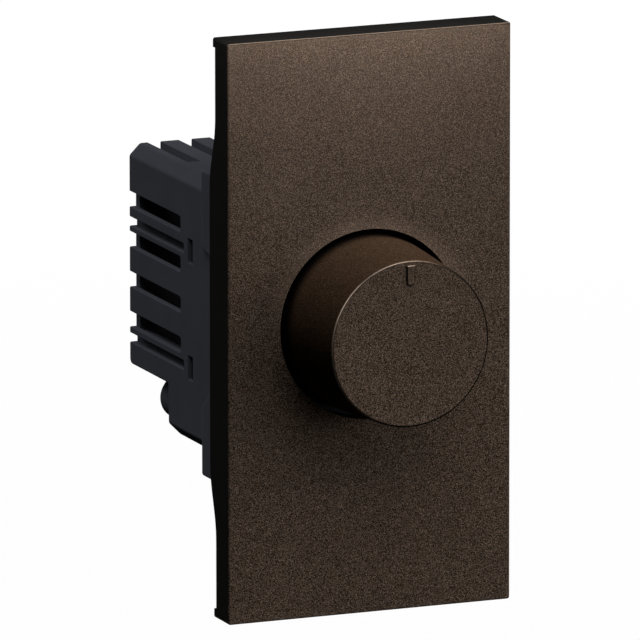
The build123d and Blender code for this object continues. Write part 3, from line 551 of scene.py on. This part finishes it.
def bronze_lacquer(name, tone, has_hole_light=False, has_side=False):
    """Metallic lacquer, lighter by tone; with a painted light round the upper half of a hole, and darker
    on a side, partly as painted shade.
    """
    material, shader, start = start_finish(name)
    flakes = {"Vector": start.place(), "Scale": flakes_per_metre}
    cells = start.node("ShaderNodeTexVoronoi", flakes, output="Color")
    shine = start.node("ShaderNodeSeparateColor", {0: cells}, output=0)
    warmth = start.node("ShaderNodeSeparateColor", {0: cells}, output=1)
    level = flake_level(start, shine)
    # Painted light round the upper half of the hole.
    if has_hole_light:
        level = level + hole_painted_light(start, hole_radius) * hole_light_share
    flake = warmth.blend(shade_of(cool_flake, tone), shade_of(warm_flake, tone))
    colour = level.blend(shade_of(ground, tone), flake)
    if has_side:
        side = 1.0 - (start.facing("Y") * -1.0).between(0.3, 0.9)
        colour = side.blend(colour, side_colour(start, level))
    set_shader(shader, Base_Color=colour, Roughness=shine * 0.2 + 0.4, Specular_IOR_Level=0.0)
    return material


cover_lacquer = bronze_lacquer("bronze_lacquer", cover_tone, has_hole_light=True)
knob_lacquer = bronze_lacquer("bronze_lacquer_knob", knob_painted_light_tone, has_side=True)
print("made", cover_lacquer.name, "and", knob_lacquer.name)

# %% [markdown]
# ## Polished edges
# The spray is thin on the edges, and they shine. A lighter paint would be light from every side, but a
# polished edge is light only where it mirrors a lamp. So it is a very dark metal: it shows little of the
# white room, and still shows the strong gleams. Metal turns white at low angles, and a black specular
# tint stops that.

# %% Polished edges
streaks_per_metre = 2500.0
dark_edge = (0.0036, 0.0027, 0.0020)
light_edge = (0.0050, 0.0038, 0.0029)
pointer_tone = 2.0


def polished_edge(name, tone=1.0):
    """Thin lacquer on an edge, which gleams where a lamp is mirrored."""
    material, shader, start = start_finish(name)
    streak = start.noise(streaks_per_metre)
    colour = streak.spread(shade_of(dark_edge, tone), shade_of(light_edge, tone))
    set_shader(shader, Base_Color=colour, Metallic=1.0, Roughness=streak * 0.2 + 0.32)
    set_shader(shader, Specular_Tint=(0.0, 0.0, 0.0))
    return material


upper_edge = polished_edge("polished_upper_edge")
knob_rim = polished_edge("polished_rim")
pointer_end = polished_edge("polished_pointer", pointer_tone)
print("polished:", [finish.name for finish in (upper_edge, knob_rim, pointer_end)])

# %% [markdown]
# ## Moulded plastic
# The bare places of the cover and the knob, the mechanism's case and the chassis in it are all plain
# mouldings. Plastic has no grain of its own: its surface is a copy of the steel mould, which has been
# eroded to a fine texture. A picture of that texture would have to be unwrapped onto every piece. Noise
# in the piece's own coordinates needs no unwrapping, so one finish serves them all, in five colours.
# Two of the five are darker copies of the black, as painted shade: on the pointer's sides and lower end,
# and on the cover's top wall, which the strip lamp floods.

# %% Moulded plastic
pits_per_metre = 5200.0
drifts_per_metre = 90.0
pit_depth = 0.006 * MM
mottle_share = 0.06


def moulded_plastic(name, colour):
    """Plastic from an eroded steel mould: a fine relief and a very weak cloud in the colour."""
    material, shader, start = start_finish(name)
    pits = start.noise(pits_per_metre)
    mottle = start.noise(drifts_per_metre) * 0.7 + pits * 0.3
    shade = mottle.spread(shade_of(colour, 1.0 - mottle_share), shade_of(colour, 1.0 + mottle_share))
    set_shader(shader, Base_Color=shade, Roughness=pits * 0.2 + 0.45, Specular_IOR_Level=0.0)
    set_shader(shader, Normal=relief(pits, pit_depth))
    return material


black_moulding = moulded_plastic("black_moulding", (0.012, 0.0115, 0.011))
# Painted shade on the pointer's sides and lower end.
pointer_painted_shade = moulded_plastic("pointer_painted_shade", (0.006, 0.0052, 0.0045))
# Painted shade on the cover's top wall, which the strip lamp floods.
top_wall_painted_shade = moulded_plastic("top_wall_painted_shade", (0.0055, 0.0053, 0.0050))
anthracite = moulded_plastic("anthracite_plastic", (0.060, 0.063, 0.075))
grey = moulded_plastic("grey_plastic", (0.026, 0.027, 0.032))
plastics = (black_moulding, pointer_painted_shade, top_wall_painted_shade, anthracite, grey)
print("moulded:", [finish.name for finish in plastics])

# %% [markdown]
# ## Cover
# The cover is one moulding with lacquer on its front alone. Four finishes meet on it, and they could be
# four meshes, but then seams would show. The spray came from the front, so the way a face points tells
# them apart: to the front is lacquer, tilted upwards is the polished upper edge, straight up is the upper
# wall with a darker painted shade, because the strip lamp floods it, and the rest is bare. Only the front
# edges are rolled, because nobody sees those at the back.

# %% Cover
edge_reach = 0.6 * MM
cover_roll = 0.05 * MM
straight_up = 0.75
tilted_up = 0.1
to_front = -0.3
cover_finishes = [cover_lacquer, black_moulding, upper_edge, top_wall_painted_shade]


def cover_finish(face):
    """Which of the cover's finishes a face has."""
    if face.normal.z > straight_up:
        return top_wall_painted_shade
    if face.calc_center_median().y > cover_front + edge_reach or face.normal.y > to_front:
        return black_moulding
    return upper_edge if face.normal.z > tilted_up else cover_lacquer


def cover_leave(edge):
    """Only the cover's front edges are rolled."""
    return max(corner.co.y for corner in edge.verts) > cover_front + edge_reach


cover_piece = softened(
    "front_cover", "mechanism", cover_roll, cover_finishes, cover_finish, cover_leave
)

# %% [markdown]
# ## Knob
# The knob is a slightly conical cap with a small raised bar on its face as a pointer. A painted mark
# would be flat from the side, but this bar stands in the model, so it only needs its finishes. Its front
# is lacquer, its upper end is polished as the knob's rim is, and its sides and lower end are a near-black
# painted shade, for the shade on its side and the shadow under it. The place of a face and the way it
# points pick them out. The bar's edges are round in the model already, so they are left as they are.

# %% Knob
knob_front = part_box("knob")[0].y
pointer_reach = 0.35 * MM
rim_radius = 12.1 * MM
knob_roll = 0.1 * MM
flat_front = -0.999
rim_front = -0.2
pointer_up = 0.2
knob_finishes = [knob_lacquer, knob_rim, pointer_painted_shade, pointer_end]


def on_pointer(place):
    """True for a point on the pointer, which stands in front of the knob's face inside the rim."""
    return place.y < knob_front + pointer_reach and Vector((place.x, place.z)).length < rim_radius


def knob_finish(face):
    """Which of the knob's finishes a face has."""
    place = face.calc_center_median()
    if place.y > knob_front + edge_reach or face.normal.y < flat_front:
        return knob_lacquer
    if on_pointer(place):
        return pointer_end if face.normal.z > pointer_up else pointer_painted_shade
    return knob_rim if face.normal.y < rim_front else knob_lacquer


def knob_leave(edge):
    """The pointer's edges stay as they are."""
    return on_pointer((edge.verts[0].co + edge.verts[1].co) / 2)


knob_piece = softened(
    "knob", "knob", knob_roll, knob_finishes, knob_finish, knob_leave
)

# %% [markdown]
# ## Case and chassis
# The case is an anthracite moulding with vents, grooves and rails, and the teeth of the darker chassis
# show in its latch windows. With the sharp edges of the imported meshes, a vent would look like a printed
# stripe. So every edge that shows is rolled, a little more on the case than on the chassis. Each moulding
# has one finish all over, so no face has to be picked.

# %% Case and chassis
case_roll = 0.15 * MM
chassis_roll = 0.1 * MM
moulded_pieces = [
    softened("rear_case", "mechanism", case_roll, [anthracite]),
    softened("chassis", "mechanism", chassis_roll, [grey]),
]

# %% [markdown]
# ## Lamps for some pieces alone
# Some lamps do good in one place and harm in another. The strip hangs so close that it would flood the
# mechanism's top behind the cover, and the mechanism's own lamps would spill onto the cover and the knob.
# A studio would hold black cards in between. Light linking does the same without a card in the picture: a
# lamp gets a list of the only pieces that receive its light.

# %% Lamps for some pieces alone
front_pieces = [cover_piece, knob_piece]
receivers = {
    "strip": front_pieces,
    "front_left": front_pieces,
    "gleam_left": front_pieces,
    "gleam_top": front_pieces,
    "back_left": [cover_piece],
    "back_edge": moulded_pieces,
    "side_left": moulded_pieces,
}
for name, pieces in receivers.items():
    lit = bpy.data.collections.new(name + "_receivers")
    for piece in pieces:
        lit.objects.link(piece)
    lamp_objects[name].light_linking.receiver_collection = lit
    print(name, "lights", [piece.name for piece in pieces])

# %% [markdown]
# ## Bare metal
# Every small metal part has been rolled, drawn or turned, and the tool leaves lines along its path. They
# could be drawn as stripes, but stripes are too even. So one finish makes them all from noise that is
# stretched along the lines: it changes quickly across them and slowly along them. The lines change the
# gloss more than the colour. A broad second noise brings in the tarnish, and a sine along the depth the
# bushing's thread.

# %% Bare metal
lines_per_metre = 9000.0
tarnish_per_metre = 350.0
line_depth = 0.002 * MM
thread_depth = 0.3


def worked_metal(name, colour, tarnish, stretch, roughness, thread_pitch=0.0):
    """Metal with tool lines; stretch slows the noise along them, and a pitch adds a thread along Y."""
    material, shader, start = start_finish(name)
    lines = start.noise(lines_per_metre, detail=3.0, stretch=stretch)
    cloud = start.noise(tarnish_per_metre, detail=3.0)
    shade = (cloud * 0.7 + lines * 0.3).spread(colour, tarnish, 0.35, 0.65)
    set_shader(shader, Base_Color=shade, Metallic=1.0, Roughness=lines * 0.25 + (roughness - 0.1))
    height, depth = lines, line_depth
    if thread_pitch:
        crest = start.math("SINE", start.axis("Y") * (2 * math.pi / thread_pitch))
        end_face = start.facing("Y") * start.facing("Y")
        height, depth = crest * (1.0 - end_face) * 0.5 + lines * 0.01, thread_depth * thread_pitch
    set_shader(shader, Normal=relief(height, depth))
    return material


def dress(node, material):
    """Give a CAD node its finish."""
    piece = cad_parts[node]
    piece.data.materials.clear()
    piece.data.materials.append(material)
    print(node, "wears", material.name)


bright_tin = (0.66, 0.65, 0.62)
turned = (0.05, 1.0, 0.05)
rolled_across = (0.05, 1.0, 1.0)
metals = {  # colour, tarnish, stretch of the lines, roughness and, for the bushing, its thread's pitch
    "spring_steel": ((0.36, 0.37, 0.40), (0.20, 0.19, 0.20), turned, 0.38),
    "shaft_aluminium": ((0.82, 0.82, 0.83), (0.66, 0.66, 0.67), turned, 0.32),
    "contact_bronze": ((0.72, 0.46, 0.25), (0.50, 0.29, 0.15), rolled_across, 0.28),
    "brass": ((0.80, 0.60, 0.27), (0.58, 0.40, 0.16), turned, 0.30, 0.75 * MM),
    "nickel_steel": ((0.70, 0.67, 0.61), (0.52, 0.49, 0.44), (1.0, 0.2, 1.0), 0.26),
    "zinc_steel": ((0.62, 0.65, 0.70), (0.60, 0.57, 0.42), (1.0, 0.3, 1.0), 0.40),
    "tinned_brass": (bright_tin, (0.45, 0.43, 0.40), (1.0, 0.1, 1.0), 0.42),
}
metal_pieces = {
    "spring_steel": ["knob_clip"],
    "shaft_aluminium": ["control_shaft"],
    "contact_bronze": ["wiper"],
    "brass": ["pot_bushing"],
    "nickel_steel": ["pot_nut", "pot_washer", "terminal_screws"],
    "zinc_steel": ["pot_housing", "heat_sink_screw", "clamp_plates"],
    "tinned_brass": ["pot_pins", "terminal_cages"],
}
for name, settings in metals.items():
    metal = worked_metal(name, *settings)
    for node in metal_pieces[name]:
        dress(node, metal)

# %% [markdown]
# ## Anodised heat sink
# The heat sink is bent from aluminium sheet and anodised, because a dull grey skin gives off heat better
# than bright metal. The finish for bare metal could be darkened for it, but the skin isn't metallic any
# more: it takes light as a matt paint does. So only the rolling lines' height and a faint cloud are left.

# %% Anodised heat sink
material, shader, start = start_finish("aluminium_sheet")
rolling = start.noise(lines_per_metre, detail=3.0, stretch=rolled_across)
cloud = start.noise(300.0, detail=3.0)
skin = (cloud * 0.6 + rolling * 0.4).spread((0.085, 0.087, 0.092), (0.115, 0.117, 0.122), 0.35, 0.65)
set_shader(shader, Base_Color=skin, Roughness=rolling * 0.2 + 0.5, Specular_IOR_Level=0.1)
set_shader(shader, Normal=relief(rolling, line_depth))
dress("heat_sink", material)

# %% [markdown]
# ## Resistive track
# The potentiometer's wafer is pressed paper in brown resin, and a ring of black carbon is printed on it
# for the wiper to run on. The ring stops at the bottom, between the two end pins. The distance from the
# knob's axis picks it out, so no second mesh is needed, and a soft edge gives it the spread of a printed
# paste.

# %% Resistive track
track_radius = 5.6 * MM
track_half = 1.1 * MM
track_edge = 0.15 * MM
end_gap_half = 1.2 * MM
end_gap_edge = 0.2 * MM

material, shader, start = start_finish("phenolic")
upper_half = start.axis("Z").between(-end_gap_edge, end_gap_edge)
end_gap = start.axis("X").band(0.0, end_gap_half, end_gap_edge) * (1.0 - upper_half)
carbon = start.from_axis().band(track_radius, track_half, track_edge) * (1.0 - end_gap)
fibre = start.noise(1800.0, detail=4.0, roughness=0.65)
paper_board = fibre.spread((0.20, 0.095, 0.035), (0.31, 0.16, 0.065))
wafer_colour = carbon.blend(paper_board, (0.012, 0.012, 0.013))
set_shader(shader, Base_Color=wafer_colour, Roughness=carbon * 0.25 + 0.45)
set_shader(shader, Normal=relief(fibre, 0.01 * MM))
dress("track_wafer", material)

# %% [markdown]
# ## Circuit board
# Glass cloth in resin is pale and faintly woven. On the side that faces forward it carries copper under a
# green lacquer: broad islands with thin bare lines etched between them. They could be drawn one by one,
# but a Voronoi texture gives the distance to the nearest border between its cells, and that is just such
# a net of thin lines.

# %% Circuit board
islands_per_metre = 170.0
cloth_pitch = 0.5 * MM
copper_thickness = 0.035 * MM

material, shader, start = start_finish("board_laminate")
islands = {"Vector": start.place(), "Scale": islands_per_metre, "Randomness": 0.75}
border = start.node("ShaderNodeTexVoronoi", islands, feature="DISTANCE_TO_EDGE")
copper = border.between(0.05, 0.07) * (start.facing("Y") * -1.0).between(0.4, 0.6)
wave = 2 * math.pi / cloth_pitch
weave = start.math("SINE", start.axis("X") * wave) * start.math("SINE", start.axis("Z") * wave)
cloth = weave * 0.25 + start.noise(900.0)
laminate = cloth.spread((0.33, 0.32, 0.15), (0.43, 0.42, 0.22), 0.2, 0.8)
lacquered = start.noise(300.0).spread((0.020, 0.105, 0.040), (0.028, 0.135, 0.052))
set_shader(shader, Base_Color=copper.blend(laminate, lacquered), Roughness=0.5 - copper * 0.2)
set_shader(shader, Normal=relief(copper + weave * 0.1, copper_thickness))
dress("circuit_board", material)

# %% [markdown]
# ## Choke
# The core is iron powder pressed into a ring and painted yellow, and the paint lies over the grains like
# a skin. The wire is copper under clear enamel. A glossy copper could stand for both, but the enamel is a
# Coat over a metal here, because its own small highlight sits above the softer shine of the copper. Where
# the wire's ends go into the board, they are tinned.

# %% Choke
component_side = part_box("circuit_board")[1].y
tin_fade = 0.3 * MM

material, shader, start = start_finish("iron_powder")
grains = start.noise(2600.0, detail=3.0, roughness=0.6)
worn = grains.between(0.62, 0.72)
yellow = start.noise(260.0).spread((0.56, 0.37, 0.035), (0.66, 0.46, 0.060))
set_shader(shader, Base_Color=worn.blend(yellow, (0.16, 0.12, 0.07)), Roughness=grains * 0.2 + 0.45)
set_shader(shader, Normal=relief(grains, 0.03 * MM))
dress("choke_core", material)

material, shader, start = start_finish("enamelled_copper")
drawn = start.noise(1500.0, detail=3.0)
enamel = drawn.spread((0.47, 0.16, 0.060), (0.62, 0.25, 0.10))
tinned = 1.0 - start.axis("Y").between(component_side, component_side + tin_fade)
set_shader(shader, Base_Color=tinned.blend(enamel, bright_tin), Metallic=1.0, Roughness=drawn * 0.2 + 0.2)
set_shader(shader, Coat_Weight=0.6 - tinned * 0.6, Coat_Roughness=0.12)
set_shader(shader, Normal=relief(drawn, 0.004 * MM))
dress("choke_winding", material)

# %% [markdown]
# ## Coated components
# Capacitors, the varistor, the resistors, the diac and the fuse are all a coloured body on bare tinned
# wires. They could be cut into body and wires, but in the model each one is a single mesh, and a mask
# divides it as well: the wire is whatever lies beyond the body's end. The mask mixes both colours and
# turns Metallic on for the wire and Coat on for the coating.

# %% Coated components
body_edge = 0.05 * MM
varistor_stand = 0.9 * MM


def coated_part(node, name, wire_of, paint_of, roughness, coat, dimple=0.02 * MM):
    """Dress a node in a coating on bare wires; wire_of makes the wire's mask and paint_of the paint."""
    material, shader, start = start_finish(name)
    wire = wire_of(start)
    skin = start.noise(1300.0)
    set_shader(shader, Base_Color=wire.blend(paint_of(start), bright_tin), Metallic=wire)
    set_shader(shader, Roughness=skin * 0.15 + (roughness - 0.07), Coat_Weight=(1.0 - wire) * coat)
    set_shader(shader, Coat_Roughness=0.15, Normal=relief(skin * (1.0 - wire), dimple))
    dress(node, material)


def clouded(dark, light):
    """Paint that wanders between two close colours."""
    return lambda start: start.noise(420.0, detail=3.0).spread(dark, light)


def in_front_of(level):
    """Wire mask for parts that stand on the board: all that is in front of a depth."""
    return lambda start: 1.0 - start.axis("Y").between(level - body_edge, level + body_edge)


on_board = in_front_of(component_side)
off_board = in_front_of(component_side + varistor_stand)
box_yellow = clouded((0.52, 0.34, 0.050), (0.58, 0.39, 0.065))
dip_red = clouded((0.26, 0.055, 0.022), (0.34, 0.080, 0.032))
disc_blue = clouded((0.020, 0.075, 0.26), (0.030, 0.105, 0.34))
coated_part("suppression_capacitor", "capacitor_box", on_board, box_yellow, 0.45, 0.1, 0.006 * MM)
coated_part("timing_capacitor", "film_dip", on_board, dip_red, 0.30, 0.5)
coated_part("varistor", "varistor_coating", off_board, disc_blue, 0.35, 0.4, 0.03 * MM)

# %% [markdown]
# ## Colour rings
# The resistors carry their value as rings, printed round the body one after the other. Each ring could
# have a mask of its own, but a colour ramp lays them all out along the body at once. All three resistors
# are in one node, at two heights, so the height above each one's own middle is worked out first.

# %% Colour rings
resistor_low, resistor_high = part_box("resistors")
lead_end = 5.3 * MM
upper_middle = resistor_high.z - lead_end
lower_middle = resistor_low.z + lead_end
resistor_half = 3.0 * MM
cap_edge = 0.03 * MM
tan_body = (0.46, 0.31, 0.17)
ring_width = 0.09
ring_edge = 0.004
rings = {  # where a ring starts, as a share of the body, and its colour: gold, orange, black and brown
    0.16: (0.36, 0.24, 0.05),
    0.40: (0.60, 0.14, 0.02),
    0.56: (0.01, 0.01, 0.01),
    0.72: (0.13, 0.045, 0.015),
}


def own_height(start):
    """Height above the middle of the resistor that the point belongs to."""
    upper = start.math("GREATER_THAN", start.axis("Z"), (upper_middle + lower_middle) / 2)
    return start.axis("Z") - (upper * (upper_middle - lower_middle) + lower_middle)


def beyond(height, half):
    """Wire mask for parts with a wire at each end: all that is further than half from the middle."""
    return height.math("ABSOLUTE", height).between(half - cap_edge, half + cap_edge)


def ringed(start):
    """Tan body with its rings."""
    stops = [(0.0, tan_body)]
    for place, colour in rings.items():
        stops += [(place, tan_body), (place + ring_edge, colour)]
        stops += [(place + ring_width, colour), (place + ring_width + ring_edge, tan_body)]
    along = own_height(start) * (0.5 / resistor_half) + 0.5
    return start.node("ShaderNodeValToRGB", {0: along}, stops=stops)


def resistor_wire(start):
    """Mask of the resistors' wires."""
    return beyond(own_height(start), resistor_half)


coated_part("resistors", "resistor_coating", resistor_wire, ringed, 0.5, 0.15)

# %% [markdown]
# ## Diac and fuse
# The diac is a small body of blue glass with a single black ring, and the fuse a grey one between metal
# caps. Real glass would need rays to pass through it, for a piece that is hardly seen, so a glossy coat
# stands for it. Each has metal at both ends, so the distance from its middle tells metal from body.

# %% Diac and fuse
diac_low, diac_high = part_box("diac")
diac_middle = (diac_low.z + diac_high.z) / 2
diac_half = 2.0 * MM
ring_middle = diac_middle + 1.2 * MM
fuse_low, fuse_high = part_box("fuse")
fuse_middle = (fuse_low.x + fuse_high.x) / 2
fuse_half = 2.5 * MM


def banded_glass(start):
    """Blue glass with one black ring."""
    ring = start.axis("Z").band(ring_middle, 0.3 * MM, 0.05 * MM)
    glass = start.noise(500.0).spread((0.030, 0.080, 0.200), (0.040, 0.110, 0.260))
    return ring.blend(glass, (0.01, 0.01, 0.01))


def diac_wire(start):
    """Mask of the diac's two wires."""
    return beyond(start.axis("Z") - diac_middle, diac_half)


def fuse_wire(start):
    """Mask of the fuse's caps and wires."""
    return beyond(start.axis("X") - fuse_middle, fuse_half)


fuse_grey = clouded((0.20, 0.24, 0.20), (0.26, 0.30, 0.25))
coated_part("diac", "diac_glass", diac_wire, banded_glass, 0.15, 0.8)
coated_part("fuse", "fuse_coating", fuse_wire, fuse_grey, 0.5, 0.1)

# %% [markdown]
# ## Triac
# The power switch is a block of black compound moulded onto a plated copper tab. Behind the block the
# bare tab runs on to its screw, and in front its three legs go through the board. Two masks could cut off
# the ends, but both are metal, so one band along the depth is enough to keep the compound in the middle.

# %% Triac
tab_length = 6.2 * MM
block_length = 9.2 * MM
block_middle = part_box("triac")[1].y - tab_length - block_length / 2

material, shader, start = start_finish("moulding_compound")
compound = start.axis("Y").band(block_middle, block_length / 2, 0.04 * MM)
filler = start.noise(3200.0, detail=3.0)
black = filler.spread((0.014, 0.014, 0.015), (0.024, 0.024, 0.025))
plated = start.noise(700.0, stretch=(0.2, 1.0, 1.0)).spread((0.52, 0.51, 0.49), bright_tin)
set_shader(shader, Base_Color=compound.blend(plated, black), Metallic=1.0 - compound)
set_shader(shader, Roughness=compound * 0.25 + filler * 0.1 + 0.30, Normal=relief(filler, 0.008 * MM))
dress("triac", material)
